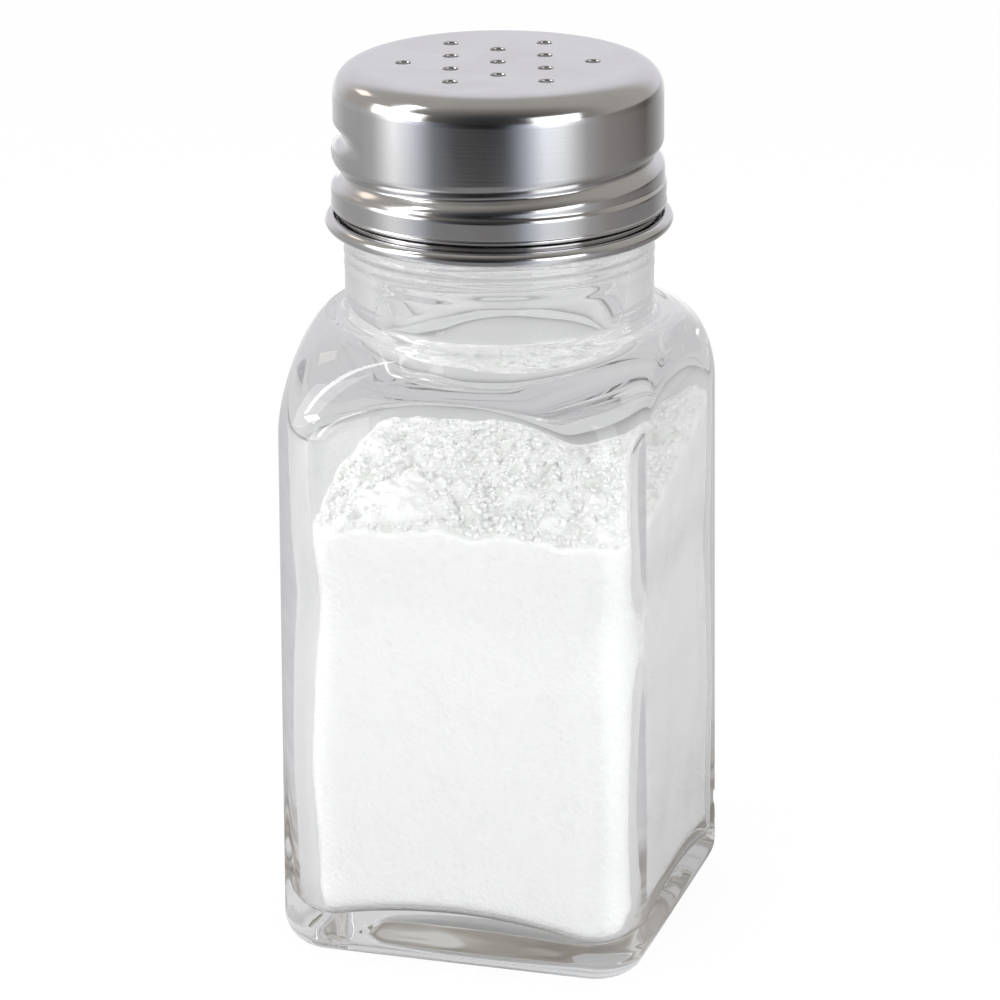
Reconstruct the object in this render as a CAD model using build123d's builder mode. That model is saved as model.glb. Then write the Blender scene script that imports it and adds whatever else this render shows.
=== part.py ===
"""A square glass salt shaker with a perforated steel lid that screws on.

The origin is the middle of the base, +Z is up, and the four flat sides face +X, -X, +Y and -Y.
Lengths are in millimetres and angles in degrees, measured from +X towards +Y.
"""

import os
from math import radians, sin, sqrt

from build123d import *

# Glass bottle, outside, from the base up
heel_half_width = 21.2
body_taper = 0.35
body_corner_radius = 5.8
heel_radius = 3.8
shoulder_start = 61.0
shoulder_height = 10.9
neck_radius = 17.2
neck_root_fillet = 1.2
neck_length = 11.5
finish_height = 15.2
finish_step = 0.8
lip_rounding = 0.7
foot_width = 3.4
underside_recess_depth = 1.3

# Glass bottle, inside
wall_thickness = 2.4
cavity_corner_radius = 4.8
floor_thickness = 8.2
floor_dome_radius = 65.0
floor_edge_radius = 2.6
shoulder_thickness = 2.4
finish_wall = 2.4
bore_root_fillet = 1.4

# Screw thread, shared by the glass and the lid
thread_pitch = 4.45
thread_play = 0.15
thread_lead = 6.5
glass_thread_height = 1.1
glass_thread_radius = 1.3
glass_thread_turns = 1.2
glass_thread_sink = 1.3
lid_thread_depth = 0.9
lid_thread_half_width = 1.35
lid_thread_turns = 1.33
lid_thread_drop = 13.45
lid_thread_low_angle = 86.7
lid_thread_rise = 1.3

# Sealing ring between the mouth and the lid
seal_thickness = 0.98
seal_side_play = 0.2
seal_inset = 0.4
seal_chamfer = 0.2
seal_play = 0.02

# Lid, pressed and rolled from one sheet, from its top down
sheet = 0.4
bend_radius = 0.6
lid_edge_radius = 2.8
drum_height = 12.8
drum_play = 0.65
band_step = 0.35
band_step_height = 0.6
band_height = 2.1
crease_height = 0.7
rim_play = 0.48
rim_drop = 1.25
rim_roll_radius = 0.8
rim_roll_arc = 280.0

# Pouring holes in the lid: one in the middle, an inner ring and an outer ring
hole_radius = 0.85
inner_hole_ring = 6.0
outer_hole_ring = 10.4
holes_in_ring = 6
outer_ring_angle = 16.7

# Salt
salt_drop = 7.8
salt_slope_x = 0.075
salt_slope_y = 0.15
salt_crown_radius = 300.0

# How the shoulders run from the square body to the round neck
shoulder_sections = 16
side_power = 5.3
corner_power = 1.8
rise_power = 1.6
tiny_straight = 0.15
shoulder_tuck = 0.4

# Places and widths that follow from the sizes above
shoulder_half_width = heel_half_width - body_taper
shoulder_top = shoulder_start + shoulder_height
neck_top = shoulder_top + neck_length
mouth_height = neck_top + finish_height
finish_radius = neck_radius - finish_step
bore_radius = finish_radius - finish_wall
cavity_half_width = shoulder_half_width - wall_thickness
cavity_shoulder_top = shoulder_top - shoulder_thickness
underside_recess_radius = heel_half_width - heel_radius - foot_width
seal_inner_radius = bore_radius + seal_side_play
seal_outer_radius = finish_radius - lip_rounding - seal_inset
lid_top = mouth_height + seal_thickness + seal_play + sheet
drum_radius = neck_radius + drum_play + sheet
band_radius = drum_radius + band_step
rim_inner_radius = neck_radius + rim_play
band_top = lid_top - drum_height
crease_top = band_top - band_step_height - band_height
rim_height = crease_top - crease_height - rim_drop
rim_roll_centre = rim_inner_radius + rim_roll_radius
lid_groove_radius = (lid_thread_half_width**2 + lid_thread_depth**2) / (2 * lid_thread_depth)
lid_ridge_radius = lid_groove_radius + sheet
lid_thread_path = drum_radius - lid_thread_depth + lid_groove_radius
lid_thread_low_height = lid_top - lid_thread_drop
glass_thread_path = finish_radius + glass_thread_height - glass_thread_radius
flank_distance = lid_ridge_radius + glass_thread_radius + thread_play
glass_thread_lift = sqrt(flank_distance**2 - (lid_thread_path - glass_thread_path) ** 2)
glass_thread_low_height = lid_thread_low_height + glass_thread_lift
inner_ring_angle = outer_ring_angle + 180 / holes_in_ring
underside_sphere_radius = (underside_recess_radius**2 / underside_recess_depth + underside_recess_depth) / 2
salt_steepness = sqrt(1 + salt_slope_x**2 + salt_slope_y**2)
salt_sphere_centre = (
    salt_slope_x * salt_crown_radius / salt_steepness,
    salt_slope_y * salt_crown_radius / salt_steepness,
    shoulder_start - salt_drop - salt_crown_radius / salt_steepness,
)


def shoulder_section(step, half_width, corner, neck, low, high):
    """Height, half width and corner radius of one section, from step 0 at the body to 1 at the neck."""
    rise = sin(radians(90 * step))
    remainder = 1 - rise**rise_power
    side = neck + (half_width - neck) * remainder ** (1 / side_power)
    body_reach = (half_width - corner) * sqrt(2) + corner
    reach = neck + (body_reach - neck) * remainder ** (1 / corner_power)
    rounding = (side * sqrt(2) - reach) / (sqrt(2) - 1)
    return low + (high - low) * rise, side, min(max(rounding, corner), side - tiny_straight)


def shoulder(half_width, corner, neck, low, high):
    """The solid of a shoulder from a rounded square at low to a circle at high, tucked into the neck."""
    with BuildPart() as block:
        for number in range(shoulder_sections + 1):
            step = 1 - (1 - number / shoulder_sections) ** 2
            height, side, rounding = shoulder_section(
                step, half_width, corner, neck - shoulder_tuck, low, high
            )
            with BuildSketch(Plane.XY.offset(height)):
                RectangleRounded(2 * side, 2 * side, rounding)
        loft()
    return block.part


def edges_near(block, height):
    """The edges of a block that lie at a height, give or take the shoulder's tuck."""
    return block.edges().filter_by_position(Axis.Z, height - shoulder_tuck, height + shoulder_tuck)


def thread(path_radius, section_radius, low_height, turns, rise):
    """A round tube wound on the helix from +X, whose ends leave it by rise, out from the axis."""

    def lead_end(point, along):
        ahead = point + along * thread_lead
        flat = Vector(ahead.X, ahead.Y, 0).normalized() * (path_radius + rise)
        return flat + Vector(0, 0, ahead.Z)

    with BuildPart() as tube:
        with BuildLine() as path:
            wound = Helix(thread_pitch, thread_pitch * turns, path_radius, center=(0, 0, low_height))
            first = lead_end(wound @ 0, (wound % 0) * -1)
            last = lead_end(wound @ 1, wound % 1)
            lead_in = TangentArc(wound @ 0, first, tangent=(wound % 0) * -1)
            TangentArc(wound @ 1, last, tangent=wound % 1)
        with BuildSketch(Plane(origin=first, z_dir=lead_in % 1)):
            Circle(section_radius)
        sweep(path=path.wire())
    return tube.part


def fill_space():
    """The straight part of the space inside the glass, over the domed floor.

    The sphere under the floor lies on its side, to keep its poles and its seam out of the floor.
    """
    with BuildPart() as space:
        with BuildSketch():
            RectangleRounded(2 * cavity_half_width, 2 * cavity_half_width, cavity_corner_radius)
        extrude(amount=shoulder_start)
        with Locations((0, 0, floor_thickness - floor_dome_radius)):
            Sphere(floor_dome_radius, rotation=(0, 90, 0), mode=Mode.SUBTRACT)
        fillet(space.faces().sort_by(Axis.Z)[0].edges(), floor_edge_radius)
    return space.part


def round_blank(radius, low, high):
    """A plain cylinder about the Z axis, between two heights."""
    with BuildPart() as blank:
        with Locations((0, 0, low)):
            Cylinder(radius, high - low, align=(Align.CENTER, Align.CENTER, Align.MIN))
    return blank.part


with BuildPart() as inside:
    add(fill_space())
    add(shoulder(cavity_half_width, cavity_corner_radius, bore_radius, shoulder_start, cavity_shoulder_top))
    add(round_blank(bore_radius, shoulder_start, mouth_height))
    fillet(edges_near(inside, cavity_shoulder_top), bore_root_fillet)

glass_thread = thread(
    glass_thread_path, glass_thread_radius, glass_thread_low_height, glass_thread_turns, -glass_thread_sink
)
lid_ridge = thread(
    lid_thread_path, lid_ridge_radius, lid_thread_low_height, lid_thread_turns, lid_thread_rise
)
lid_groove = thread(
    lid_thread_path, lid_groove_radius, lid_thread_low_height, lid_thread_turns, lid_thread_rise
)

with BuildPart() as glass_bottle:
    with BuildSketch():
        RectangleRounded(2 * heel_half_width, 2 * heel_half_width, body_corner_radius)
    with BuildSketch(Plane.XY.offset(shoulder_start)):
        RectangleRounded(2 * shoulder_half_width, 2 * shoulder_half_width, body_corner_radius)
    loft(ruled=True)
    fillet(glass_bottle.faces().sort_by(Axis.Z)[0].edges(), heel_radius)
    add(shoulder(shoulder_half_width, body_corner_radius, neck_radius, shoulder_start, shoulder_top))
    with BuildSketch(Plane.XZ):
        with BuildLine():
            Polyline(
                (0, shoulder_start),
                (neck_radius, shoulder_start),
                (neck_radius, neck_top),
                (finish_radius, neck_top + neck_radius - finish_radius),
                (finish_radius, mouth_height),
                (0, mouth_height),
                close=True,
            )
        make_face()
    revolve(axis=Axis.Z)
    fillet(edges_near(glass_bottle, shoulder_top), neck_root_fillet)
    add(glass_thread, rotation=(0, 0, lid_thread_low_angle))
    add(inside.part, mode=Mode.SUBTRACT)
    fillet(glass_bottle.faces().sort_by(Axis.Z)[-1].edges(), lip_rounding)
    with Locations((0, 0, underside_recess_depth - underside_sphere_radius)):
        Sphere(underside_sphere_radius, mode=Mode.SUBTRACT)

with BuildPart() as salt:
    add(fill_space())
    with Locations(salt_sphere_centre):
        Sphere(salt_crown_radius, mode=Mode.INTERSECT)

with BuildPart() as seal_ring:
    with BuildSketch(Plane.XY.offset(mouth_height)):
        Circle(seal_outer_radius)
        Circle(seal_inner_radius, mode=Mode.SUBTRACT)
    extrude(amount=seal_thickness)
    chamfer(seal_ring.edges().group_by(Axis.Z)[-1], seal_chamfer)

with BuildPart() as drum_ridge:
    add(lid_ridge)
    add(round_blank(drum_radius - sheet / 2, rim_height, lid_top), mode=Mode.INTERSECT)

with BuildPart() as lid:
    with BuildSketch(Plane.XZ):
        with BuildLine():
            FilletPolyline(
                (0, lid_top),
                (drum_radius, lid_top),
                (drum_radius, band_top),
                (band_radius, band_top - band_step_height),
                (band_radius, crease_top),
                (rim_inner_radius + sheet, crease_top - crease_height),
                (rim_inner_radius + sheet, rim_height),
                radius=[lid_edge_radius] + [bend_radius] * 4,
            )
            offset(amount=sheet, side=Side.RIGHT)
        make_face()
        with BuildLine():
            roll_inside = CenterArc((rim_roll_centre, rim_height), rim_roll_radius - sheet, 180, rim_roll_arc)
            roll_outside = CenterArc((rim_roll_centre, rim_height), rim_roll_radius, 180, rim_roll_arc)
            Line(roll_inside @ 0, roll_outside @ 0)
            Line(roll_inside @ 1, roll_outside @ 1)
        make_face()
    revolve(axis=Axis.Z)
    add(drum_ridge.part, rotation=(0, 0, lid_thread_low_angle))
    add(lid_groove, rotation=(0, 0, lid_thread_low_angle), mode=Mode.SUBTRACT)
    with Locations((0, 0, lid_top)):
        Hole(hole_radius, depth=lid_edge_radius)
        with PolarLocations(inner_hole_ring, holes_in_ring, start_angle=inner_ring_angle):
            Hole(hole_radius, depth=lid_edge_radius)
        with PolarLocations(outer_hole_ring, holes_in_ring, start_angle=outer_ring_angle):
            Hole(hole_radius, depth=lid_edge_radius)

os.makedirs("parts", exist_ok=True)
pieces = {"glass_bottle": glass_bottle, "salt": salt, "seal_ring": seal_ring, "lid": lid}
for name, piece in pieces.items():
    piece.part.label = name
    export_step(piece.part, f"parts/{name}.step")
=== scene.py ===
"""The looks of a square glass salt shaker with a screw-on steel lid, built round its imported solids.

The glass, the salt and the lid are modelled here at full detail, in the places that the solids hold.
Shapes are worked out in millimetres and angles in radians; MM turns them into the scene's metres.
"""

import random
from math import cos, hypot, pi, radians, sin, sqrt

import bmesh
import bpy
from mathutils import Euler, Matrix, Vector, noise
from mathutils.geometry import delaunay_2d_cdt


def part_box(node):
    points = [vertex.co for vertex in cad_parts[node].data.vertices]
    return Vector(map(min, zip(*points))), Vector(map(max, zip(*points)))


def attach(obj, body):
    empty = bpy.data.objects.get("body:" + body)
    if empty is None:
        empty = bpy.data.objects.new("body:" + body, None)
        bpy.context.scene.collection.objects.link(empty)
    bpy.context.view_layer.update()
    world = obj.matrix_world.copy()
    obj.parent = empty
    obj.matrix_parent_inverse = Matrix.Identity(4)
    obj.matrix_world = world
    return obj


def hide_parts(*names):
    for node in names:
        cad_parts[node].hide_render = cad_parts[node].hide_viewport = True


MM = 0.001

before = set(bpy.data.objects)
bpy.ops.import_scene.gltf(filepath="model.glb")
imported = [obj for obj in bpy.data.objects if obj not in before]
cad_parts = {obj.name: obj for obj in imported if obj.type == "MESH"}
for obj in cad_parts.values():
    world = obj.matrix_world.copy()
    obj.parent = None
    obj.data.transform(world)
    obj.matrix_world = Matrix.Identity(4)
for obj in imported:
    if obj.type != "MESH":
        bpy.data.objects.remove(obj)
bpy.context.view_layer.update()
_, glass_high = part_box("glass_bottle")
_, lid_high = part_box("lid")

# Glass bottle, outside
HEEL_HALF_WIDTH = 21.2
SHOULDER_HALF_WIDTH = 20.85
BODY_CORNER = 5.8
HEEL_RADIUS = 3.8
SHOULDER_START = 61.0
SHOULDER_TOP = 71.9
NECK_RADIUS = 17.2
NECK_ROOT = 1.2
NECK_TOP = 83.4
FINISH_RADIUS = 16.4
FINISH_BLEND = 1.2
MOUTH = glass_high.z / MM
LIP = 0.7
RECESS_RADIUS = 14.0
RECESS_DEPTH = 1.3
RECESS_RIM = 0.15

# How steeply the shoulder turns in at its sides, outside and inside, at its corners, and over its height
SIDE_POWER = 5.3
INNER_SIDE_POWER = 3.0
CORNER_POWER = 1.8
RISE_POWER = 1.6

# Glass bottle, inside. The moulded walls are a little thicker here and thinner there: each wave is a
# height, a reach up and down from it, and how much it adds to the half width and to the corner.
WALL = 2.4
CAVITY_CORNER = 4.8
CAVITY_WAVES = ((22.0, 13.0, 0.12, -0.5), (41.0, 9.0, -0.16, 0.7), (57.0, 8.0, 0.05, -0.3))
FLOOR = 8.2
FLOOR_DOME = 65.0
FLOOR_EDGE = 2.6
LEAST_CORNER = 0.5
SHOULDER_THICKNESS = 2.4
BORE_RADIUS = 14.0
BORE_ROOT = 3.0
BORE_CLEARANCE = 0.3

# Faint rings that the mould leaves round the neck: height, depth and half width
NECK_RINGS = ((80.3, 0.15, 0.45), (79.1, 0.1, 0.5), (77.6, 0.05, 0.8))

# Thread
PITCH = 4.45
THREAD_LOW = 86.55
THREAD_ANGLE = radians(86.7)
LID_TURNS = 1.33
LID_THREAD_DEPTH = 0.88
LID_THREAD_HALF_WIDTH = 1.55
GLASS_TURNS = 1.2
GLASS_THREAD_LIFT = 1.67
GLASS_THREAD_HEIGHT = 1.05
GLASS_THREAD_HALF_WIDTH = 1.25
THREAD_FADE = radians(28)

# Salt
SALT_GAP = 0.06
SALT_SEED = 7
# The salt's level, its rise to the right and its crown: each at the middle, and how much more it is at the
# back, a reach away
SALT_LEVEL = (54.3, 2.6)
SALT_SLOPE = (1.2, 0.9)
SALT_CROWN = (0.6, -0.9)
SALT_REACH = 18.0
# Along the glass, over this width, the lumps fall to half their height
SALT_CALM = 3.0
# Lumps of the salt's surface: how far across, how high, and a place in the noise
SALT_LUMPS = ((4.5, 1.0, 3.1), (2.2, 1.0, 7.7), (1.1, 0.6, 1.3), (0.55, 0.25, 5.2))
MOUND_MIDDLE = (-8.5, -10.5)
MOUND_REACH = 7.5
MOUND_HEIGHT = 1.8

# Loose grains, and half the width of the least, the largest and the usual one
GRAINS = 2600
GRAIN_SIZES = (0.12, 0.36, 0.2)
# Times its half width, how far a grain's middle lies above the surface, and how far out its corners stand
GRAIN_SEAT = (-0.6, 0.45)
GRAIN_CORNERS = (0.7, 1.05)
# The inner share of the mound that a grain keeps off
BARE_MOUND = (0.4, 0.95)
CUBE = ((-1, -1, -1), (1, -1, -1), (1, 1, -1), (-1, 1, -1), (-1, -1, 1), (1, -1, 1), (1, 1, 1), (-1, 1, 1))
CUBE_FACES = ((0, 3, 2, 1), (4, 5, 6, 7), (0, 1, 5, 4), (1, 2, 6, 5), (2, 3, 7, 6), (3, 0, 4, 7))

# Lid
LID_TOP = lid_high.z / MM
SHEET = 0.4
DRUM_RADIUS = 18.25
EDGE_REACH = 3.6
EDGE_DROP = 3.0
EDGE_POWER = 2.3
SWELL = 0.1
SWELL_ANGLE = radians(205.5)
SWELL_LOW = 88.0
SWELL_STEP = 1.0
SWELL_BLEND = radians(16)
BULGE = 0.34
BULGE_HALF_HEIGHT = 1.3
BAND_RADIUS = 18.6
BAND_TOP = 87.2
BAND_LEAN = 0.1
BAND_STEP = 0.6
CREASE_TOP = 84.5
CREASE_HEIGHT = 0.7
RIM_HEIGHT = 82.55
RIM_INNER = 17.68
ROLL_RADIUS = 0.8
ROLL_ARC = radians(280)

# Pouring holes
HOLE_RADIUS = 0.85
INNER_RING = 6.0
OUTER_RING = 10.4
RING_ANGLE = radians(16.7)
# A hole's edge, as steps out from its radius and down from the lid's top: over the rim, down the collar that
# the punch leaves, and up again to the underside of the sheet
HOLE_EDGE = (
    (0.38, 0.0), (0.2, 0.0), (0.12, 0.012), (0.05, 0.045), (0.012, 0.1), (0.0, 0.17),
    (0.0, 0.84), (0.03, 0.88), (0.1, 0.88), (0.13, 0.84), (0.15, 0.5), (0.2, 0.42), (0.36, 0.4),
)
# A flat border of the top, just inside its rounded edge
PLATE_BORDER = 0.4

# How finely the shapes are divided
AROUND = 224
CORNER_CROWDING = 0.6
RECESS_SHARES = (0.2, 0.4, 0.6, 0.8, 0.92, 0.985)
FOOT_SHARES = (0.35, 0.7)
HEEL_STEPS = 14
WALL_STEPS = 40
SHOULDER_STEPS = 34
ROOT_STEPS = 8
FINISH_STEP = 0.25
LIP_STEPS = 6
BORE_STEP = 0.5
INNER_SHOULDER_STEPS = 30
CAVITY_STEPS = 60
FLOOR_EDGE_STEPS = 8
FLOOR_SHARES = (0.8, 0.6, 0.4, 0.2)
# The grid over the salt's surface, and in steps of it, how far its places stray and the border it leaves
SALT_GRID = 0.36
SALT_UNEVEN = 0.25
SALT_BORDER = 0.6
EDGE_STEPS = 18
SKIRT_STEP = 0.15
CREASE_STEPS = 8
ROLL_STEPS = 24
HOLE_SIDES = 28
# Points that lie closer than this are one place
SAME_PLACE = 1e-7
# A triangle whose middle is nearer to a hole's middle than this share of its radius lies in the hole
HOLE_SHARE = 0.99


def spoke_angles():
    """The angles of a ring's points, closer together at the corners of the square."""
    quarter = AROUND // 4
    angles = []
    for number in range(AROUND):
        side, step = divmod(number, quarter)
        share = step / quarter
        angles.append(pi / 2 * (side + share + CORNER_CROWDING * sin(2 * pi * share) / (2 * pi)))
    return angles


SPOKES = spoke_angles()


def quarter_turn(steps, first=0):
    """Even angles up to a quarter turn, from one of its steps on."""
    return [pi / 2 * number / steps for number in range(first, steps + 1)]


def smooth(share):
    """An even rise from 0 to 1 that starts and ends level."""
    share = min(max(share, 0.0), 1.0)
    return share * share * (3 - 2 * share)


def swell(place, middle, reach):
    """A smooth hump of height 1 at a middle, which ends level a reach either side of it."""
    distance = abs(place - middle) / reach
    return 0.5 + 0.5 * cos(pi * distance) if distance < 1 else 0.0


def polar(angle, reach, height):
    """A point by its angle, its reach from the Z axis and its height."""
    return (reach * cos(angle), reach * sin(angle), height)


def square_reach(angle, half_width, corner):
    """How far a rounded square reaches from its middle, at an angle."""
    along, across = sorted((abs(cos(angle)), abs(sin(angle))), reverse=True)
    straight = half_width - corner
    if half_width * across <= straight * along:
        return half_width / along
    middle = straight * (along + across)
    return middle + sqrt(max(middle * middle - 2 * straight * straight + corner * corner, 0.0))


def in_square(x, y, half_width, corner):
    """Whether a point lies in a rounded square."""
    straight = half_width - corner
    return hypot(max(abs(x) - straight, 0), max(abs(y) - straight, 0)) < corner


def mesh_piece(name, points, faces, body, material, node=None, smooth_faces=True):
    """A mesh piece from points in millimetres, which rides on a body, with its faces turned outwards."""
    mesh = bpy.data.meshes.new(name)
    mesh.from_pydata([tuple(value * MM for value in point) for point in points], [], faces)
    shell = bmesh.new()
    shell.from_mesh(mesh)
    bmesh.ops.recalc_face_normals(shell, faces=shell.faces)
    shell.to_mesh(mesh)
    shell.free()
    if smooth_faces:
        mesh.shade_smooth()
    mesh.materials.append(material)
    piece = bpy.data.objects.new(name, mesh)
    bpy.context.scene.collection.objects.link(piece)
    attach(piece, body)
    if node:
        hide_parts(node)
    return piece


def skin_rings(rings, start=None, end=None):
    """Points and faces of a skin through rings of equal length, with a middle point at either end."""
    count = len(rings[0])
    points = [point for ring in rings for point in ring]
    faces = []
    for row in range(len(rings) - 1):
        here, there = row * count, (row + 1) * count
        for step in range(count):
            after = (step + 1) % count
            faces.append((here + step, here + after, there + after, there + step))
    if start is not None:
        points.append(start)
        middle = len(points) - 1
        faces += [(middle, (step + 1) % count, step) for step in range(count)]
    if end is not None:
        points.append(end)
        middle = len(points) - 1
        last = (len(rings) - 1) * count
        faces += [(middle, last + step, last + (step + 1) % count) for step in range(count)]
    return points, faces


def flat_faces(points, numbers, loops):
    """Triangles between numbered points, seen from above: inside the first loop and outside the others."""
    flat = [Vector(points[number][:2]) for number in numbers]
    place = {number: order for order, number in enumerate(numbers)}
    rims = []
    for loop in loops:
        rims += [(place[here], place[after]) for here, after in zip(loop, loop[1:] + loop[:1])]
    inside_only = 1
    _, _, cut, origins, _, _ = delaunay_2d_cdt(flat, rims, [], inside_only, SAME_PLACE)
    holes = []
    for loop in loops[1:]:
        middle = sum((Vector(points[number][:2]) for number in loop), Vector((0, 0))) / len(loop)
        holes.append((middle, (Vector(points[loop[0]][:2]) - middle).length))
    faces = []
    for face in cut:
        corners = [numbers[origins[corner][0]] for corner in face]
        middle = sum((Vector(points[corner][:2]) for corner in corners), Vector((0, 0))) / len(corners)
        if all((middle - hole).length > HOLE_SHARE * reach for hole, reach in holes):
            faces.append(tuple(corners))
    return faces


# Glass bottle
def shoulder_levels(half_width, corner, neck, low, high, count, side_power):
    """Height, half width and corner radius up a shoulder, from the square body to the round neck."""
    levels = []
    for number in range(1, count):
        share = 1 - (1 - number / count) ** 2
        rise = sin(pi / 2 * share)
        remainder = 1 - rise**RISE_POWER
        side = neck + (half_width - neck) * remainder ** (1 / side_power)
        body_reach = (half_width - corner) * sqrt(2) + corner
        reach = neck + (body_reach - neck) * remainder ** (1 / CORNER_POWER)
        rounding = (side * sqrt(2) - reach) / (sqrt(2) - 1)
        levels.append((low + (high - low) * rise, side, min(max(rounding, corner), side)))
    return levels


def level_ring(height, half_width, corner):
    """A level's points."""
    return [polar(angle, square_reach(angle, half_width, corner), height) for angle in SPOKES]


def round_ring(height, reach):
    """A level's points where it is round."""
    return level_ring(height, reach, reach)


def thread_mark(angle, height, low, turns, half_width):
    """How much of a thread's section lies at an angle and a height, from 0 to 1."""
    most = 0.0
    for lap in range(-1, 3):
        along = (angle - THREAD_ANGLE) + 2 * pi * lap
        middle = low + PITCH * along / (2 * pi)
        share = swell(height, middle, half_width)
        if share > 0:
            fade = smooth((along + THREAD_FADE) / THREAD_FADE)
            fade *= smooth((2 * pi * turns + THREAD_FADE - along) / THREAD_FADE)
            most = max(most, share * fade)
    return most


def body_half_width(height):
    """Half the width of the body, which narrows a little towards the shoulders."""
    return HEEL_HALF_WIDTH - (HEEL_HALF_WIDTH - SHOULDER_HALF_WIDTH) * height / SHOULDER_START


def base_rings():
    """The rings under the base, from near the middle of its recess out to the heel."""
    rings = []
    sphere = (RECESS_RADIUS**2 / RECESS_DEPTH + RECESS_DEPTH) / 2
    for share in RECESS_SHARES:
        reach = RECESS_RADIUS * share
        rings.append(round_ring(RECESS_DEPTH - sphere + sqrt(sphere**2 - reach**2), reach))
    rings.append(round_ring(0.0, RECESS_RADIUS + RECESS_RIM))
    foot, foot_corner = body_half_width(HEEL_RADIUS) - HEEL_RADIUS, BODY_CORNER - HEEL_RADIUS
    for share in FOOT_SHARES:
        side = RECESS_RADIUS + (foot - RECESS_RADIUS) * share
        corner = RECESS_RADIUS + (foot_corner - RECESS_RADIUS) * share
        rings.append(level_ring(0.0, side, min(corner, side)))
    for turn in quarter_turn(HEEL_STEPS):
        grown = HEEL_RADIUS * sin(turn)
        rings.append(level_ring(HEEL_RADIUS * (1 - cos(turn)), foot + grown, foot_corner + grown))
    return rings


def outside_rings():
    """The rings of the glass's outer skin, from the recess under the base up to the lip."""
    rings = base_rings()
    for number in range(1, WALL_STEPS + 1):
        height = HEEL_RADIUS + (SHOULDER_START - HEEL_RADIUS) * number / WALL_STEPS
        rings.append(level_ring(height, body_half_width(height), BODY_CORNER))
    shoulder = shoulder_levels(
        SHOULDER_HALF_WIDTH, BODY_CORNER, NECK_RADIUS + NECK_ROOT,
        SHOULDER_START, SHOULDER_TOP, SHOULDER_STEPS, SIDE_POWER,
    )
    rings += [level_ring(*level) for level in shoulder]
    root_top = SHOULDER_TOP + NECK_ROOT
    for turn in quarter_turn(ROOT_STEPS):
        rings.append(round_ring(root_top - NECK_ROOT * cos(turn), NECK_RADIUS + NECK_ROOT * (1 - sin(turn))))
    height = root_top + FINISH_STEP
    while height < MOUTH - LIP:
        rings.append(finish_ring(height))
        height += FINISH_STEP
    for turn in quarter_turn(LIP_STEPS):
        rings.append(round_ring(MOUTH - LIP + LIP * sin(turn), FINISH_RADIUS - LIP * (1 - cos(turn))))
    return rings


def finish_ring(height):
    """A ring of the neck or, higher up, of the part of the neck that carries the thread."""
    base = NECK_RADIUS - (NECK_RADIUS - FINISH_RADIUS) * smooth((height - NECK_TOP) / FINISH_BLEND)
    base += sum(depth * swell(height, middle, reach) for middle, depth, reach in NECK_RINGS)
    low = THREAD_LOW + GLASS_THREAD_LIFT
    ring = []
    for angle in SPOKES:
        ridge = thread_mark(angle, height, low, GLASS_TURNS, GLASS_THREAD_HALF_WIDTH)
        ring.append(polar(angle, base + GLASS_THREAD_HEIGHT * ridge, height))
    return ring


def cavity_half_width(height):
    """Half the width of the space inside the glass."""
    waves = sum(wider * swell(height, middle, reach) for middle, reach, wider, _ in CAVITY_WAVES)
    return SHOULDER_HALF_WIDTH - WALL + waves


def cavity_corner(height):
    """The corner radius of the space inside the glass."""
    waves = sum(more * swell(height, middle, reach) for middle, reach, _, more in CAVITY_WAVES)
    return CAVITY_CORNER + waves


def inside_rings():
    """The rings of the space inside the glass, from the mouth down to the floor."""
    rings = []
    for turn in quarter_turn(LIP_STEPS):
        rings.append(round_ring(MOUTH - LIP * (1 - cos(turn)), BORE_RADIUS + LIP * (1 - sin(turn))))
    root_top = SHOULDER_TOP - SHOULDER_THICKNESS
    height = MOUTH - LIP - BORE_STEP
    while height > root_top + BORE_CLEARANCE:
        rings.append(round_ring(height, BORE_RADIUS))
        height -= BORE_STEP
    for turn in quarter_turn(LIP_STEPS, first=1):
        rings.append(round_ring(root_top - BORE_ROOT * sin(turn), BORE_RADIUS + BORE_ROOT * (1 - cos(turn))))
    shoulder = shoulder_levels(
        cavity_half_width(SHOULDER_START), CAVITY_CORNER, BORE_RADIUS + BORE_ROOT,
        SHOULDER_START, root_top - BORE_ROOT, INNER_SHOULDER_STEPS, INNER_SIDE_POWER,
    )
    rings += [level_ring(*level) for level in reversed(shoulder)]
    floor_edge = FLOOR - cavity_half_width(0) ** 2 / (2 * FLOOR_DOME) + FLOOR_EDGE
    for number in range(CAVITY_STEPS + 1):
        height = SHOULDER_START + (floor_edge - SHOULDER_START) * number / CAVITY_STEPS
        rings.append(level_ring(height, cavity_half_width(height), cavity_corner(height)))
    return rings


def dome_height(x, y):
    """The height of the glass's domed floor."""
    return FLOOR - (FLOOR_DOME - sqrt(FLOOR_DOME**2 - x * x - y * y))


def dome_ring(side, corner, lift, share=1.0):
    """A ring over the domed floor: a rounded square, or a share of one, lifted off the dome."""
    ring = []
    for angle in SPOKES:
        x, y, _ = polar(angle, share * square_reach(angle, side, corner), 0)
        ring.append((x, y, dome_height(x, y) + lift))
    return ring


def floor_rings(gap):
    """The rings over the domed floor, a gap off the glass, from its rounded edge in to near its middle."""
    side, corner = cavity_half_width(0) - gap, CAVITY_CORNER - gap
    rings = []
    for turn in quarter_turn(FLOOR_EDGE_STEPS, first=1):
        shrink = FLOOR_EDGE * (1 - cos(turn))
        lift = gap + FLOOR_EDGE * (1 - sin(turn))
        rings.append(dome_ring(side - shrink, max(corner - shrink, LEAST_CORNER), lift))
    for share in FLOOR_SHARES:
        rings.append(dome_ring(side - FLOOR_EDGE, corner - FLOOR_EDGE, gap, share))
    return rings


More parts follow.
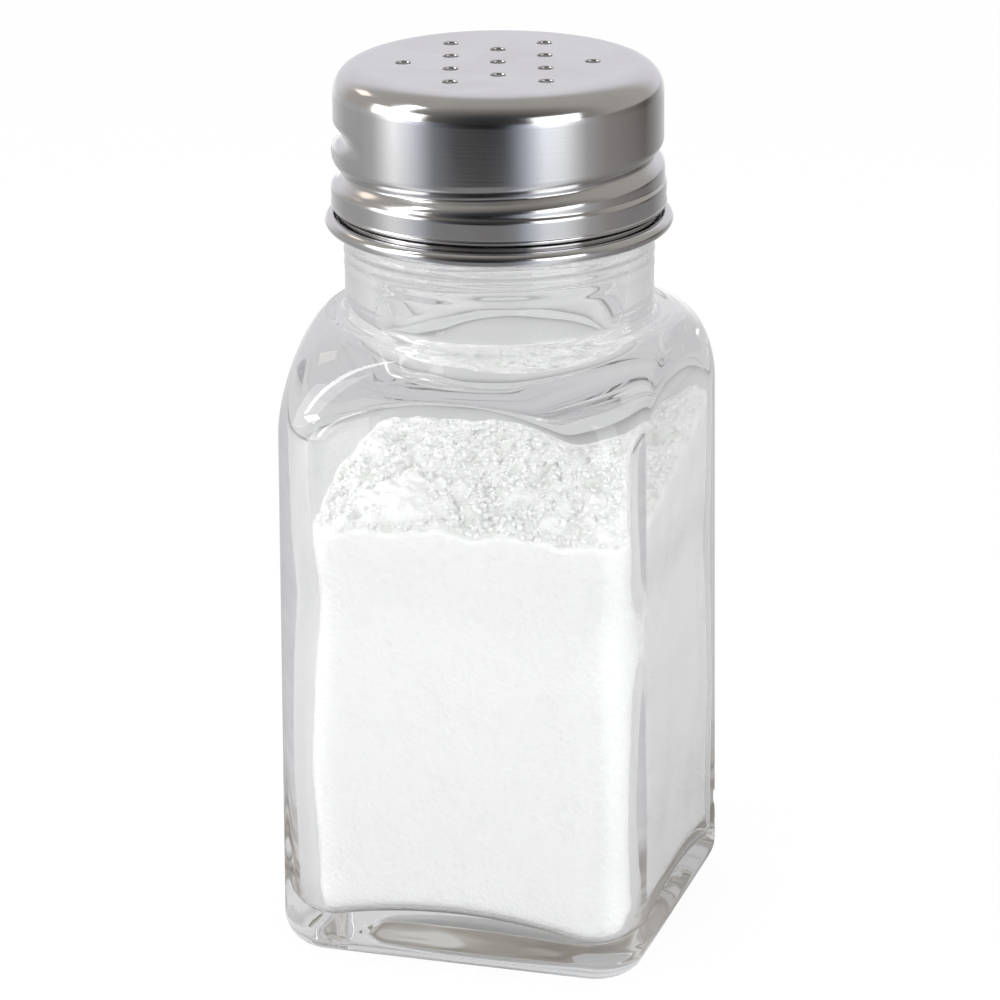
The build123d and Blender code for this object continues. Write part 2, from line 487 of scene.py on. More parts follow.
def make_glass(material):
    """The glass bottle as one closed skin, outside and inside."""
    rings = outside_rings() + inside_rings() + floor_rings(0.0)
    points, faces = skin_rings(rings, start=(0, 0, RECESS_DEPTH), end=(0, 0, FLOOR))
    return mesh_piece("bottle_glass", points, faces, "bottle", material, "glass_bottle")


# Salt
def from_mound(x, y):
    """How far a point lies from the middle of the mound."""
    return hypot(x - MOUND_MIDDLE[0], y - MOUND_MIDDLE[1])


def salt_height(x, y):
    """The height of the salt's surface, before its lumps."""
    back, right = y / SALT_REACH, x / SALT_REACH
    level, slope, crown = (start + change * back for start, change in (SALT_LEVEL, SALT_SLOPE, SALT_CROWN))
    mound = MOUND_HEIGHT * swell(from_mound(x, y), 0.0, MOUND_REACH)
    return level + slope * right - crown * right * right + mound


def salt_surface(x, y):
    """The height of the salt's lumpy surface, which is calmer along the glass."""
    side = cavity_half_width(SHOULDER_START)
    inward = smooth((side - max(abs(x), abs(y))) / SALT_CALM)
    lumps = 0.0
    for reach, height, seed in SALT_LUMPS:
        lumps += height * noise.noise(Vector((x / reach, y / reach, seed)))
    return salt_height(x, y) + (0.5 + 0.5 * inward) * lumps


def salt_side_ring(share):
    """A ring of the salt's side, from share 0 at the floor to 1 at the surface."""
    ring = []
    for angle in SPOKES:
        x, y, _ = polar(angle, square_reach(angle, cavity_half_width(0), CAVITY_CORNER), 0)
        low = dome_height(x, y) + SALT_GAP + FLOOR_EDGE
        height = low + (salt_surface(x, y) - low) * share
        side, corner = cavity_half_width(height) - SALT_GAP, cavity_corner(height) - SALT_GAP
        ring.append(polar(angle, square_reach(angle, side, corner), height))
    return ring


def surface_places():
    """Uneven places over the salt's surface, inside its outline."""
    draw = random.Random(SALT_SEED)
    half = cavity_half_width(SHOULDER_START) - SALT_GAP - SALT_BORDER * SALT_GRID
    rows = int(2 * half / (SALT_GRID * sqrt(0.75)))
    columns = int(2 * half / SALT_GRID)
    places = []
    for row in range(rows + 1):
        for column in range(columns + 1):
            x = -half + (column + 0.5 * (row % 2)) * SALT_GRID
            x += draw.uniform(-SALT_UNEVEN, SALT_UNEVEN) * SALT_GRID
            y = -half + 2 * half * row / rows
            y += draw.uniform(-SALT_UNEVEN, SALT_UNEVEN) * SALT_GRID
            if in_square(x, y, half, CAVITY_CORNER):
                places.append((x, y))
    return places


def make_salt(material):
    """The salt, which fills the glass up to its own uneven surface."""
    rings = floor_rings(SALT_GAP)[::-1]
    rings += [salt_side_ring(number / CAVITY_STEPS) for number in range(CAVITY_STEPS + 1)]
    points, faces = skin_rings(rings, start=(0, 0, FLOOR + SALT_GAP))
    outline = list(range((len(rings) - 1) * AROUND, len(rings) * AROUND))
    numbers = list(outline)
    for x, y in surface_places():
        numbers.append(len(points))
        points.append((x, y, salt_surface(x, y)))
    faces += flat_faces(points, numbers, [outline])
    return mesh_piece("salt_fill", points, faces, "bottle", material, "salt")


def make_grains(material):
    """Loose grains on the salt's surface, each a rough cube that sits in it."""
    draw = random.Random(SALT_SEED + 1)
    wall = cavity_half_width(SHOULDER_START) - SALT_GAP
    points, faces = [], []
    while len(points) < len(CUBE) * GRAINS:
        half = draw.triangular(*GRAIN_SIZES)
        reach = wall - 2 * half
        x, y = draw.uniform(-reach, reach), draw.uniform(-reach, reach)
        if not in_square(x, y, reach, CAVITY_CORNER):
            continue
        if from_mound(x, y) < MOUND_REACH * draw.uniform(*BARE_MOUND):
            continue
        turn = Euler([draw.uniform(0, 2 * pi) for _ in range(3)]).to_matrix()
        middle = Vector((x, y, salt_surface(x, y) + half * draw.uniform(*GRAIN_SEAT)))
        first = len(points)
        for sides in CUBE:
            point = Vector([side * half * draw.uniform(*GRAIN_CORNERS) for side in sides])
            points.append(tuple(middle + turn @ point))
        faces += [tuple(first + corner for corner in face) for face in CUBE_FACES]
    return mesh_piece("salt_crystals", points, faces, "bottle", material, smooth_faces=False)


# Lid
def lid_radius(angle, height):
    """The radius of the lid's skirt at one place, without its thread.

    Below the thread the sheet is swollen a little, and more so between two passes of the thread.
    """
    turned = (angle - SWELL_ANGLE) % (2 * pi)
    edge = SWELL_LOW + PITCH * turned / (2 * pi) * smooth((2 * pi - turned) / SWELL_BLEND)
    reach = DRUM_RADIUS + SWELL * smooth((edge - height) / SWELL_STEP)
    reach += (BAND_RADIUS - DRUM_RADIUS - SWELL) * smooth((BAND_TOP - height) / BAND_STEP)
    reach -= BAND_LEAN * min(max((BAND_TOP - height) / (BAND_TOP - CREASE_TOP), 0), 1)
    lap = (angle - THREAD_ANGLE) % (2 * pi)
    overlap = 2 * pi * (LID_TURNS - 1)
    if lap < overlap:
        between = THREAD_LOW + PITCH * (0.5 + lap / (2 * pi))
        reach += BULGE * sin(pi * lap / overlap) ** 0.5 * swell(height, between, BULGE_HALF_HEIGHT)
    return reach


def lid_middle_line(angle):
    """The middle of the lid's sheet at one angle, from the top's edge down and round the rolled rim."""
    start, drop = DRUM_RADIUS - EDGE_REACH, EDGE_DROP - SHEET / 2
    line = [(start - PLATE_BORDER, LID_TOP - SHEET / 2)]
    for turn in quarter_turn(EDGE_STEPS):
        out = (EDGE_REACH - SHEET / 2) * sin(turn) ** (2 / EDGE_POWER)
        line.append((start + out, LID_TOP - EDGE_DROP + drop * cos(turn) ** (2 / EDGE_POWER)))
    height = LID_TOP - EDGE_DROP - SKIRT_STEP
    while height > CREASE_TOP:
        mark = thread_mark(angle, height, THREAD_LOW, LID_TURNS, LID_THREAD_HALF_WIDTH)
        line.append((lid_radius(angle, height) - SHEET / 2 - LID_THREAD_DEPTH * mark, height))
        height -= SKIRT_STEP
    neck_in = RIM_INNER + SHEET / 2
    for number in range(CREASE_STEPS + 1):
        share = number / CREASE_STEPS
        reach = neck_in + (BAND_RADIUS - SHEET / 2 - neck_in) * (1 - smooth(share))
        line.append((reach, CREASE_TOP - CREASE_HEIGHT * share))
    line.append((neck_in, (CREASE_TOP - CREASE_HEIGHT + RIM_HEIGHT) / 2))
    roll = ROLL_RADIUS - SHEET / 2
    for number in range(ROLL_STEPS + 1):
        turn = pi + ROLL_ARC * number / ROLL_STEPS
        line.append((RIM_INNER + ROLL_RADIUS + roll * cos(turn), RIM_HEIGHT + roll * sin(turn)))
    return line


def both_faces(line):
    """The outer and inner faces of a sheet, half its thickness either side of its middle line."""
    outer, inner = [], []
    for number, (reach, height) in enumerate(line):
        before = line[max(number - 1, 0)]
        after = line[min(number + 1, len(line) - 1)]
        along = (after[0] - before[0], after[1] - before[1])
        length = hypot(*along)
        out = (-along[1] / length * SHEET / 2, along[0] / length * SHEET / 2)
        outer.append((reach + out[0], height + out[1]))
        inner.append((reach - out[0], height - out[1]))
    # The first two points lie in the flat top
    for number in (0, 1):
        outer[number] = (line[number][0], LID_TOP)
        inner[number] = (line[number][0], LID_TOP - SHEET)
    return outer, inner


def hole_places():
    """The middles of the thirteen pouring holes."""
    places = [(0.0, 0.0)]
    for step in range(6):
        angle = RING_ANGLE + step * pi / 3
        places.append((OUTER_RING * cos(angle), OUTER_RING * sin(angle)))
        places.append((INNER_RING * cos(angle + pi / 6), INNER_RING * sin(angle + pi / 6)))
    return places


def hole_edge(x, y):
    """Points and faces of one hole's edge, from the lid's top down to its underside."""
    turns = [2 * pi * step / HOLE_SIDES for step in range(HOLE_SIDES)]
    rings = []
    for grow, drop in HOLE_EDGE:
        reach = HOLE_RADIUS + grow
        rings.append([(x + reach * cos(turn), y + reach * sin(turn), LID_TOP - drop) for turn in turns])
    return skin_rings(rings)


def make_lid(material):
    """The lid as one closed skin: flat top with rimmed holes, threaded skirt and rolled rim."""
    sections = []
    for angle in SPOKES:
        outer, inner = both_faces(lid_middle_line(angle))
        sections.append(outer + inner[::-1])
    rings = []
    for row in zip(*sections):
        rings.append([polar(angle, reach, height) for angle, (reach, height) in zip(SPOKES, row)])
    points, faces = skin_rings(rings)
    top = [list(range(AROUND))]
    underside = [list(range((len(rings) - 1) * AROUND, len(rings) * AROUND))]
    for x, y in hole_places():
        first = len(points)
        edge_points, edge_faces = hole_edge(x, y)
        points += edge_points
        faces += [tuple(first + corner for corner in face) for face in edge_faces]
        top.append(list(range(first, first + HOLE_SIDES)))
        underside.append(list(range(len(points) - HOLE_SIDES, len(points))))
    for loops in (top, underside):
        numbers = [number for loop in loops for number in loop]
        faces += flat_faces(points, numbers, loops)
    return mesh_piece("steel_lid", points, faces, "cap", material, "lid")


# Shader nodes
def rgba(shade):
    """A colour with its alpha, from three numbers or from one grey."""
    return (*shade, 1) if isinstance(shade, tuple) else (shade, shade, shade, 1)


def feed(tree, node, inputs):
    """Gives a node's inputs, by name or number, a value or another node's output."""
    for socket, source in inputs.items():
        if isinstance(source, bpy.types.NodeSocket):
            tree.links.new(source, node.inputs[socket])
        else:
            node.inputs[socket].default_value = source


def add_node(tree, kind, inputs=None, **settings):
    """A shader node with its settings and inputs."""
    made = tree.nodes.new(kind)
    for name, setting in settings.items():
        setattr(made, name, setting)
    feed(tree, made, inputs or {})
    return made


def object_place(tree):
    """Where a point lies on its own piece."""
    return add_node(tree, "ShaderNodeTexCoord").outputs["Object"]


def calculate(tree, operation, *numbers):
    """The result of an operation on numbers."""
    return add_node(tree, "ShaderNodeMath", dict(enumerate(numbers)), operation=operation).outputs["Value"]


def measure(tree, operation, *vectors):
    """The number that an operation on vectors gives."""
    made = add_node(tree, "ShaderNodeVectorMath", dict(enumerate(vectors)), operation=operation)
    return made.outputs["Value"]


def carry_over(tree, number, low, high, to_low=0.0, to_high=1.0):
    """A number carried over from one span to another, and held within it."""
    inputs = {"Value": number, "From Min": low, "From Max": high, "To Min": to_low, "To Max": to_high}
    return add_node(tree, "ShaderNodeMapRange", inputs).outputs["Result"]


def cloud(tree, place, scale, detail, roughness=0.5, distortion=0.0):
    """Soft noise over a surface."""
    return add_node(tree, "ShaderNodeTexNoise", {
        "Vector": place, "Scale": scale, "Detail": detail, "Roughness": roughness, "Distortion": distortion,
    }).outputs["Fac"]


def add_ramp(tree, source, stops):
    """A colour ramp over a number, from stops of place and colour."""
    ramp = add_node(tree, "ShaderNodeValToRGB", {"Fac": source})
    stop_list = ramp.color_ramp.elements
    while len(stop_list) < len(stops):
        stop_list.new(0.5)
    for stop, (place, shade) in zip(stop_list, stops):
        stop.position = place
        stop.color = rgba(shade)
    return ramp.outputs["Color"]


def mix_numbers(tree, share, first, second):
    """Two numbers mixed by a share of the second."""
    inputs = {"Factor": share, "A": first, "B": second}
    return add_node(tree, "ShaderNodeMix", inputs, data_type="FLOAT").outputs["Result"]


def mix_colours(tree, share, first, second, way="MIX"):
    """Two colours mixed by a share of the second."""
    inputs = {"Fac": share, "Color1": first, "Color2": second}
    return add_node(tree, "ShaderNodeMixRGB", inputs, blend_type=way).outputs["Color"]


def mix_shaders(tree, share, first, second):
    """Two shaders mixed by a share of the second."""
    return add_node(tree, "ShaderNodeMixShader", {0: share, 1: first, 2: second}).outputs["Shader"]


def add_bump(tree, shader, height, strength, distance):
    """Fine relief on a shader, from a height and how deep it goes in metres."""
    bump = add_node(tree, "ShaderNodeBump", {"Height": height, "Strength": strength, "Distance": distance})
    feed(tree, shader, {"Normal": bump.outputs["Normal"]})


def new_material(name):
    """An empty material, its node tree and its shader."""
    material = bpy.data.materials.new(name)
    material.use_nodes = True
    tree = material.node_tree
    return material, tree, tree.nodes["Principled BSDF"]


def new_group(name, inputs, outputs):
    """A shader node group with float inputs and their usual values, and named outputs."""
    group = bpy.data.node_groups.new(name, "ShaderNodeTree")
    for socket, value in inputs.items():
        made = group.interface.new_socket(socket, in_out="INPUT", socket_type="NodeSocketFloat")
        made.default_value = value
    for socket in outputs:
        group.interface.new_socket(socket, in_out="OUTPUT", socket_type="NodeSocketFloat")
    entry = group.nodes.new("NodeGroupInput")
    leave = group.nodes.new("NodeGroupOutput")
    return group, entry.outputs, leave


def make_grain_group():
    """Crushed grains: a shade and a height that change from grain to grain and from clump to clump."""
    inputs = {"Grains Per Metre": 1800.0, "Clumps Per Metre": 350.0, "Clump Share": 0.5}
    group, given, leave = new_group("crushed_grains", inputs, ("Shade", "Height"))
    place = object_place(group)
    cells = add_node(group, "ShaderNodeTexVoronoi", {"Vector": place, "Scale": given["Grains Per Metre"]})
    clumps = cloud(group, place, given["Clumps Per Metre"], detail=4.0, roughness=0.6)
    grain = add_node(group, "ShaderNodeSeparateColor", {"Color": cells.outputs["Color"]})
    clump = carry_over(group, clumps, low=0.35, high=0.65)
    shade = mix_numbers(group, given["Clump Share"], grain.outputs["Red"], clump)
    height = calculate(group, "MULTIPLY_ADD", cells.outputs["Distance"], 0.5, clumps)
    feed(group, leave, {"Shade": shade, "Height": height})
    return group


def make_handling_group():
    """Traces of use: broad smudges, and fine lines that run round the Z axis as polishing leaves them."""
    inputs = {"Smudges Per Metre": 90.0, "Lines Per Metre": 4000.0}
    group, given, leave = new_group("handling_marks", inputs, ("Smudge", "Lines"))
    place = object_place(group)
    smudges = cloud(group, place, given["Smudges Per Metre"], detail=5.0, roughness=0.6, distortion=0.8)
    parts = add_node(group, "ShaderNodeSeparateXYZ", {"Vector": place})
    flat = add_node(group, "ShaderNodeVectorMath", {0: place, 1: (1, 1, 0)}, operation="MULTIPLY")
    reach = measure(group, "LENGTH", flat.outputs["Vector"])
    level = add_node(group, "ShaderNodeCombineXYZ", {"X": reach, "Y": parts.outputs["Z"]})
    lines = cloud(group, level.outputs["Vector"], given["Lines Per Metre"], detail=3.0, roughness=0.7)
    feed(group, leave, {"Smudge": carry_over(group, smudges, low=0.42, high=0.72), "Lines": lines})
    return group


# Finishes. First come each material's own values for the shader node groups.
PACKED_GRAINS = {"Grains Per Metre": 2200.0, "Clumps Per Metre": 420.0, "Clump Share": 0.35}
LOOSE_GRAINS = {"Grains Per Metre": 900.0, "Clumps Per Metre": 260.0, "Clump Share": 0.6}
SEAL_GRAINS = {"Grains Per Metre": 6000.0, "Clumps Per Metre": 300.0, "Clump Share": 0.6}
POLISH = {"Smudges Per Metre": 85.0, "Lines Per Metre": 3500.0}
PACKED_TONES = ((0.0, (0.93, 0.93, 0.925)), (0.35, 0.97), (1.0, 0.985))
# The tone of the grey-green patches on the salt's top
GREY_PATCH_TONE = (0.83, 0.85, 0.82)
LOOSE_TONES = ((0.2, (0.86, 0.88, 0.85)), (0.4, (0.94, 0.945, 0.935)), (0.55, 0.97), (0.9, 0.985))
# How much of a loose grain's shade is its own, and not the clump's
OWN_SHADE = 0.45
STEEL_TONES = ((0.0, (0.685, 0.68, 0.69)), (1.0, (0.63, 0.62, 0.615)))
STEEL_ROUGHNESS = (0.13, 0.21)
SEAL_TONES = ((0.0, (0.78, 0.78, 0.75)), (1.0, (0.86, 0.86, 0.84)))
GLASS_TONE = (0.982, 0.985, 0.988)
GLASS_SHADOW = 0.97

# The mound of salt is left plain white near its top, a painted highlight, and this far from it, in metres,
# the grey patches set in
MOUND_TOP = (MOUND_MIDDLE[0] * MM, MOUND_MIDDLE[1] * MM, 0.0555)
HIGHLIGHT_REACH = (0.003, 0.0075)

# A ray that has been mirrored this often inside the glass would be given up as black. It ends in a second
# shader instead, which glows as painted light in the tone of the room, in faint streaks of painted
# reflection:
# one tone in the base, darker as painted shade, and another above it, with a blend between these heights in
# metres.
MOST_MIRRORED = 3
SHADED_GLOW_AT_BASE = ((0.36, (0.2, 0.185, 0.165)), (0.5, (0.36, 0.335, 0.305)), (0.64, (0.56, 0.55, 0.53)))
GLOW_ABOVE_BASE = ((0.34, (0.57, 0.57, 0.585)), (0.66, (0.63, 0.63, 0.64)))
BASE_BAND = (0.006, 0.016)
STREAKS_PER_METRE = (45, 45, 420)


def painted_glow_tone(tree, place):
    """The painted glow that stands in for light mirrored too often, in streaks, darker in the base as
    painted shade.
    """
    squeezed = add_node(tree, "ShaderNodeMapping", {"Vector": place, "Scale": STREAKS_PER_METRE})
    streaks = cloud(tree, squeezed.outputs["Vector"], scale=1.0, detail=2.0)
    parts = add_node(tree, "ShaderNodeSeparateXYZ", {"Vector": place})
    up = carry_over(tree, parts.outputs["Z"], *BASE_BAND)
    return mix_colours(tree, up, add_ramp(tree, streaks, SHADED_GLOW_AT_BASE), add_ramp(tree, streaks, GLOW_ABOVE_BASE))


def glass_material():
    """Clear moulded glass with faint ripples, letting the lamps' light through to the salt; glows as painted
    light after many mirrorings.
    """
    material, tree, shader = new_material("clear_glass")
    feed(tree, shader, {
        "Base Color": rgba(GLASS_TONE), "Roughness": 0.0, "IOR": 1.51, "Transmission Weight": 1.0,
    })
    place = object_place(tree)
    ripples = cloud(tree, place, scale=90.0, detail=1.0, roughness=0.4)
    add_bump(tree, shader, ripples, strength=0.1, distance=0.0003)
    # A second shader that glows as painted light in the room's tone, for rays mirrored too often
    painted_glow_shader = add_node(tree, "ShaderNodeBsdfPrincipled", {
        "Base Color": rgba(0), "Roughness": 0.0, "IOR": 1.0, "Transmission Weight": 1.0,
        "Emission Color": painted_glow_tone(tree, place), "Emission Strength": 1.0,
    })
    clear = add_node(tree, "ShaderNodeBsdfTransparent", {"Color": rgba(GLASS_SHADOW)})
    rays = add_node(tree, "ShaderNodeLightPath")
    lost = calculate(tree, "GREATER_THAN", rays.outputs["Glossy Depth"], MOST_MIRRORED - 0.5)
    body = mix_shaders(tree, lost, shader.outputs["BSDF"], painted_glow_shader.outputs["BSDF"])
    surface = mix_shaders(tree, rays.outputs["Is Shadow Ray"], body, clear.outputs["BSDF"])
    feed(tree, tree.nodes["Material Output"], {"Surface": surface})
    return material


def salt_material(group):
    """Packed white salt, faintly mottled by its grains, with grey-green patches on top, kept off the mound's
    top as a painted highlight.
    """
    material, tree, shader = new_material("packed_salt")
    feed(tree, shader, {
        "Roughness": 0.7, "Specular IOR Level": 0.3,
        "Subsurface Weight": 0.8, "Subsurface Radius": (1.0, 1.0, 1.0), "Subsurface Scale": 0.0012,
    })
    grains = add_node(tree, "ShaderNodeGroup", PACKED_GRAINS, node_tree=group)
    place = add_node(tree, "ShaderNodeTexCoord")
    facing = add_node(tree, "ShaderNodeSeparateXYZ", {"Vector": place.outputs["Normal"]})
    on_top = carry_over(tree, facing.outputs["Z"], low=0.3, high=0.7)
    # Faces that point up take grey patches, except near the mound's top, which stays plain white as a
    # painted highlight
    away = measure(tree, "DISTANCE", place.outputs["Object"], MOUND_TOP)
    top_off_highlight = calculate(tree, "MULTIPLY", on_top, carry_over(tree, away, *HIGHLIGHT_REACH))
    patches = cloud(tree, place.outputs["Object"], scale=260.0, detail=3.0)
    spread = carry_over(tree, patches, low=0.47, high=0.62, to_low=0.12)
    grey_patch = calculate(tree, "MULTIPLY", top_off_highlight, spread)
    grain_tone = add_ramp(tree, grains.outputs["Shade"], PACKED_TONES)
    feed(tree, shader, {"Base Color": mix_colours(tree, grey_patch, grain_tone, rgba(GREY_PATCH_TONE))})
    add_bump(tree, shader, grains.outputs["Height"], strength=0.5, distance=0.0003)
    return material


def crystal_material(group):
    """Coarse loose salt, white and here and there glassy grey."""
    material, tree, shader = new_material("salt_crystals")
    grains = add_node(tree, "ShaderNodeGroup", LOOSE_GRAINS, node_tree=group)
    each = add_node(tree, "ShaderNodeNewGeometry").outputs["Random Per Island"]
    shade = mix_numbers(tree, OWN_SHADE, grains.outputs["Shade"], each)
    feed(tree, shader, {"Base Color": add_ramp(tree, shade, LOOSE_TONES), "Roughness": 0.4})
    add_bump(tree, shader, grains.outputs["Height"], strength=0.3, distance=0.0002)
    return material


def steel_material(group):
    """Pressed stainless steel, polished round and handled since."""
    material, tree, shader = new_material("lid_steel")
    marks = add_node(tree, "ShaderNodeGroup", POLISH, node_tree=group)
    smudge = marks.outputs["Smudge"]
    feed(tree, shader, {
        "Base Color": add_ramp(tree, smudge, STEEL_TONES), "Metallic": 1.0,
        "Roughness": carry_over(tree, smudge, 0.0, 1.0, *STEEL_ROUGHNESS),
    })
    add_bump(tree, shader, marks.outputs["Lines"], strength=0.12, distance=0.00002)
    return material


def seal_material(group):
    """Soft off-white plastic with a fine moulded grain."""
    material, tree, shader = new_material("seal_plastic")
    grains = add_node(tree, "ShaderNodeGroup", SEAL_GRAINS, node_tree=group)
    feed(tree, shader, {"Base Color": add_ramp(tree, grains.outputs["Shade"], SEAL_TONES), "Roughness": 0.5})
    add_bump(tree, shader, grains.outputs["Height"], strength=0.2, distance=0.00005)
    return material


# Studio: floor, world, lamps and camera
FRONT = radians(-73.32)
AHEAD = (cos(FRONT), sin(FRONT), 0)
ASIDE = (-sin(FRONT), cos(FRONT), 0)
FLOOR_HALF_SIZE = 3.0
FLOOR_HEIGHT = -0.0002
FLOOR_GREY = 0.58
FLOOR_WHITE = 1.05
FLOOR_WHITE_SHARE = 0.88
LAMP_AIM = (0, 0, 0.055)

# What the steel sees in the floor, by the angle in degrees round to the right from the camera's side
FLOOR_IN_STEEL = (
    (-180, 0.84), (-131, 0.44), (-111, 0.42), (-95, 0.47), (-76, 1.0), (-60, (0.68, 0.7, 0.74)),
    (-45, (0.24, 0.25, 0.27)), (-28, (0.07, 0.07, 0.075)), (-8, (0.014, 0.015, 0.02)),
    (4, (0.05, 0.056, 0.07)), (16, (0.4, 0.43, 0.48)), (31, (0.92, 0.95, 1.0)), (44, (0.88, 0.89, 0.9)),
    (62, 0.41), (78, (0.31, 0.29, 0.28)), (104, (0.25, 0.23, 0.22)), (120, (0.17, 0.155, 0.145)),
    (150, 0.5), (180, 0.84),
)
# Near by, and less and less between these distances, it sees at least this light
NEAR_FLOOR = (0.28, 0.38)
NEAR_TONE = (0.27, 0.265, 0.265)
# Far off, and more and more between these distances, the floor's darks and lights stand further apart
FAR_FLOOR = (0.37, 0.47)
FAR_CONTRAST = 1.6
FAR_GAIN = 1.9
# What the steel sees of the room, by how far a direction points to the camera's side, from -1 to 1
ROOM_IN_STEEL = (
    (-1.0, (0.84, 0.83, 0.87)), (-0.84, (0.82, 0.81, 0.85)), (-0.6, (0.47, 0.45, 0.42)),
    (0.1, (0.42, 0.4, 0.37)), (0.62, (0.16, 0.15, 0.14)), (0.85, 0.05), (1.0, 0.03),
)
# What shows through the glass and lights the salt
ROOM_IN_GLASS = ((-1.0, 0.68), (-0.2, 0.67), (0.35, 0.59), (0.75, 0.4), (1.0, 0.3))


def mirrored_rays(tree, rays):
    """1 for rays that a surface has mirrored, and 0 for those that have gone through glass."""
    return calculate(tree, "MULTIPLY", rays.outputs["Is Glossy Ray"], rays.outputs["Is Reflection Ray"])


def floor_in_steel(tree):
    """The light that the steel sees at each place of the floor."""
    place = object_place(tree)
    ahead, aside = (measure(tree, "DOT_PRODUCT", place, way) for way in (AHEAD, ASIDE))
    turn = carry_over(tree, calculate(tree, "ARCTAN2", aside, ahead), -pi, pi)
    away = measure(tree, "LENGTH", place)
    stops = [(0.5 + degree / 360, shade) for degree, shade in FLOOR_IN_STEEL]
    near = carry_over(tree, away, *NEAR_FLOOR, 1.0, 0.0)
    tone = mix_colours(tree, near, add_ramp(tree, turn, stops), rgba(NEAR_TONE), "LIGHTEN")
    apart = add_node(tree, "ShaderNodeGamma", {"Color": tone, "Gamma": FAR_CONTRAST}).outputs["Color"]
    brighter = add_node(tree, "ShaderNodeVectorMath", {0: apart, "Scale": FAR_GAIN}, operation="SCALE")
    return mix_colours(tree, carry_over(tree, away, *FAR_FLOOR), tone, brighter.outputs["Vector"])


def floor_material():
    """A pale floor that looks white to the camera and still takes the shaker's shadow; to mirrored rays it
    glows in painted lights and darks.
    """
    material, tree, shader = new_material("pale_floor")
    feed(tree, shader, {"Base Color": rgba(FLOOR_GREY), "Roughness": 0.9, "Specular IOR Level": 0.0})
    white = add_node(tree, "ShaderNodeEmission", {"Color": rgba(1), "Strength": FLOOR_WHITE})
    # To mirrored rays the floor glows instead: painted lights and darks that the steel shows as its
    # reflections
    patches = add_node(tree, "ShaderNodeEmission", {"Color": floor_in_steel(tree), "Strength": 1.0})
    rays = add_node(tree, "ShaderNodeLightPath")
    share = calculate(tree, "MULTIPLY", rays.outputs["Is Camera Ray"], FLOOR_WHITE_SHARE)
    to_camera = mix_shaders(tree, share, shader.outputs["BSDF"], white.outputs["Emission"])
    surface = mix_shaders(tree, mirrored_rays(tree, rays), to_camera, patches.outputs["Emission"])
    feed(tree, tree.nodes["Material Output"], {"Surface": surface})
    return material


def make_floor():
    """The floor that the shaker stands on."""
    mesh = bpy.data.meshes.new("floor")
    corners = []
    for x, y in ((-1, -1), (1, -1), (1, 1), (-1, 1)):
        corners.append((x * FLOOR_HALF_SIZE, y * FLOOR_HALF_SIZE, FLOOR_HEIGHT))
    mesh.from_pydata(corners, [], [(0, 1, 2, 3)])
    mesh.materials.append(floor_material())
    floor = bpy.data.objects.new("floor", mesh)
    bpy.context.scene.collection.objects.link(floor)


def make_world():
    """White to the camera; for the rest, a pale room that darkens towards the camera's side."""
    world = bpy.data.worlds.new("studio")
    bpy.context.scene.world = world
    world.use_nodes = True
    tree = world.node_tree
    way = add_node(tree, "ShaderNodeTexCoord").outputs["Generated"]
    share = carry_over(tree, measure(tree, "DOT_PRODUCT", way, AHEAD), -1.0, 1.0)
    rooms = []
    for stops in (ROOM_IN_GLASS, ROOM_IN_STEEL):
        rooms.append(add_ramp(tree, share, [(0.5 + 0.5 * facing, shade) for facing, shade in stops]))
    rays = add_node(tree, "ShaderNodeLightPath")
    room = mix_colours(tree, mirrored_rays(tree, rays), *rooms)
    seen = mix_colours(tree, rays.outputs["Is Camera Ray"], room, rgba(1))
    feed(tree, tree.nodes["Background"], {"Color": seen})


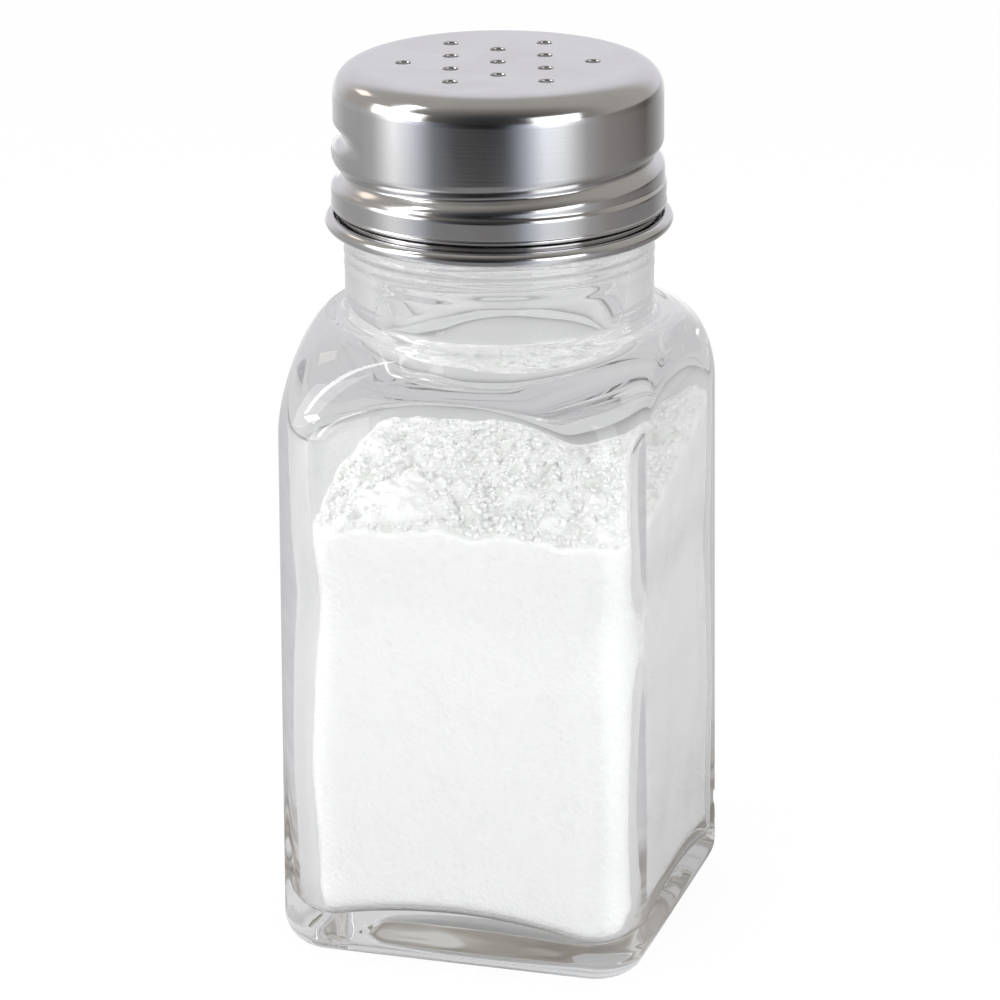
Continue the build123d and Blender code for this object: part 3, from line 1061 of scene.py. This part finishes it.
def soft_lamp(name, azimuth, elevation, distance, width, height, level, seen=True, colour=(1, 1, 1)):
    """A soft rectangular lamp that faces the shaker, placed by its direction from the camera's side.

    The level is how bright it makes a white surface that faces it, where white is 1.
    """
    lamp = bpy.data.lights.new(name, "AREA")
    lamp.shape = "RECTANGLE"
    lamp.size, lamp.size_y = width, height
    lamp.energy = level * (pi * distance) ** 2
    lamp.color = colour
    holder = bpy.data.objects.new(name, lamp)
    away = Vector(polar(FRONT + radians(azimuth), cos(radians(elevation)), sin(radians(elevation))))
    holder.location = Vector(LAMP_AIM) + away * distance
    holder.rotation_euler = away.to_track_quat("Z", "Y").to_euler()
    holder.visible_camera = False
    holder.visible_glossy = seen
    holder.visible_transmission = seen
    bpy.context.scene.collection.objects.link(holder)


def make_studio():
    """The floor, the world and the lamps."""
    make_floor()
    make_world()
    soft_lamp("left_box", -74, 13, 0.6, 0.46, 0.3, 0.26)
    soft_lamp("left_strip", -76, 30, 0.6, 0.08, 0.5, 0.26)
    soft_lamp("right_box", 40, 13, 0.6, 0.36, 0.3, 0.2)
    soft_lamp("warm_window", -127, 34, 0.6, 0.13, 0.1, 0.016, colour=(1.0, 0.87, 0.73))
    soft_lamp("top_box", 180, 80, 0.6, 0.5, 0.5, 0.3, seen=False)
    soft_lamp("left_fill", -30, 30, 0.8, 0.4, 0.4, 0.31, seen=False)
    soft_lamp("right_fill", 65, 30, 0.8, 0.4, 0.4, 0.39, seen=False)


CAMERA_PLACE = (0.14542, -0.48553, 0.22109)
CAMERA_AIM = (0, 0, 0.05)
CAMERA_LENS = 170.45
CAMERA_ROLL = radians(-0.42)
CAMERA_SHIFT = (-0.00114, -0.0061)
CAMERA_NEAR = 0.01


def make_camera():
    """The camera at the photograph's viewing angle."""
    data = bpy.data.cameras.new("camera")
    data.lens = CAMERA_LENS
    data.shift_x, data.shift_y = CAMERA_SHIFT
    data.clip_start = CAMERA_NEAR
    camera = bpy.data.objects.new("camera", data)
    camera.location = CAMERA_PLACE
    away = Vector(CAMERA_PLACE) - Vector(CAMERA_AIM)
    turn = away.to_track_quat("Z", "Y").to_matrix() @ Matrix.Rotation(CAMERA_ROLL, 3, "Z")
    camera.rotation_euler = turn.to_euler()
    bpy.context.scene.collection.objects.link(camera)
    bpy.context.scene.camera = camera


bpy.context.scene.view_settings.view_transform = "Standard"
grain_group = make_grain_group()
handling_group = make_handling_group()
make_glass(glass_material())
make_salt(salt_material(grain_group))
make_grains(crystal_material(grain_group))
make_lid(steel_material(handling_group))
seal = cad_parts["seal_ring"]
seal.data.materials.clear()
seal.data.materials.append(seal_material(grain_group))
make_studio()
make_camera()
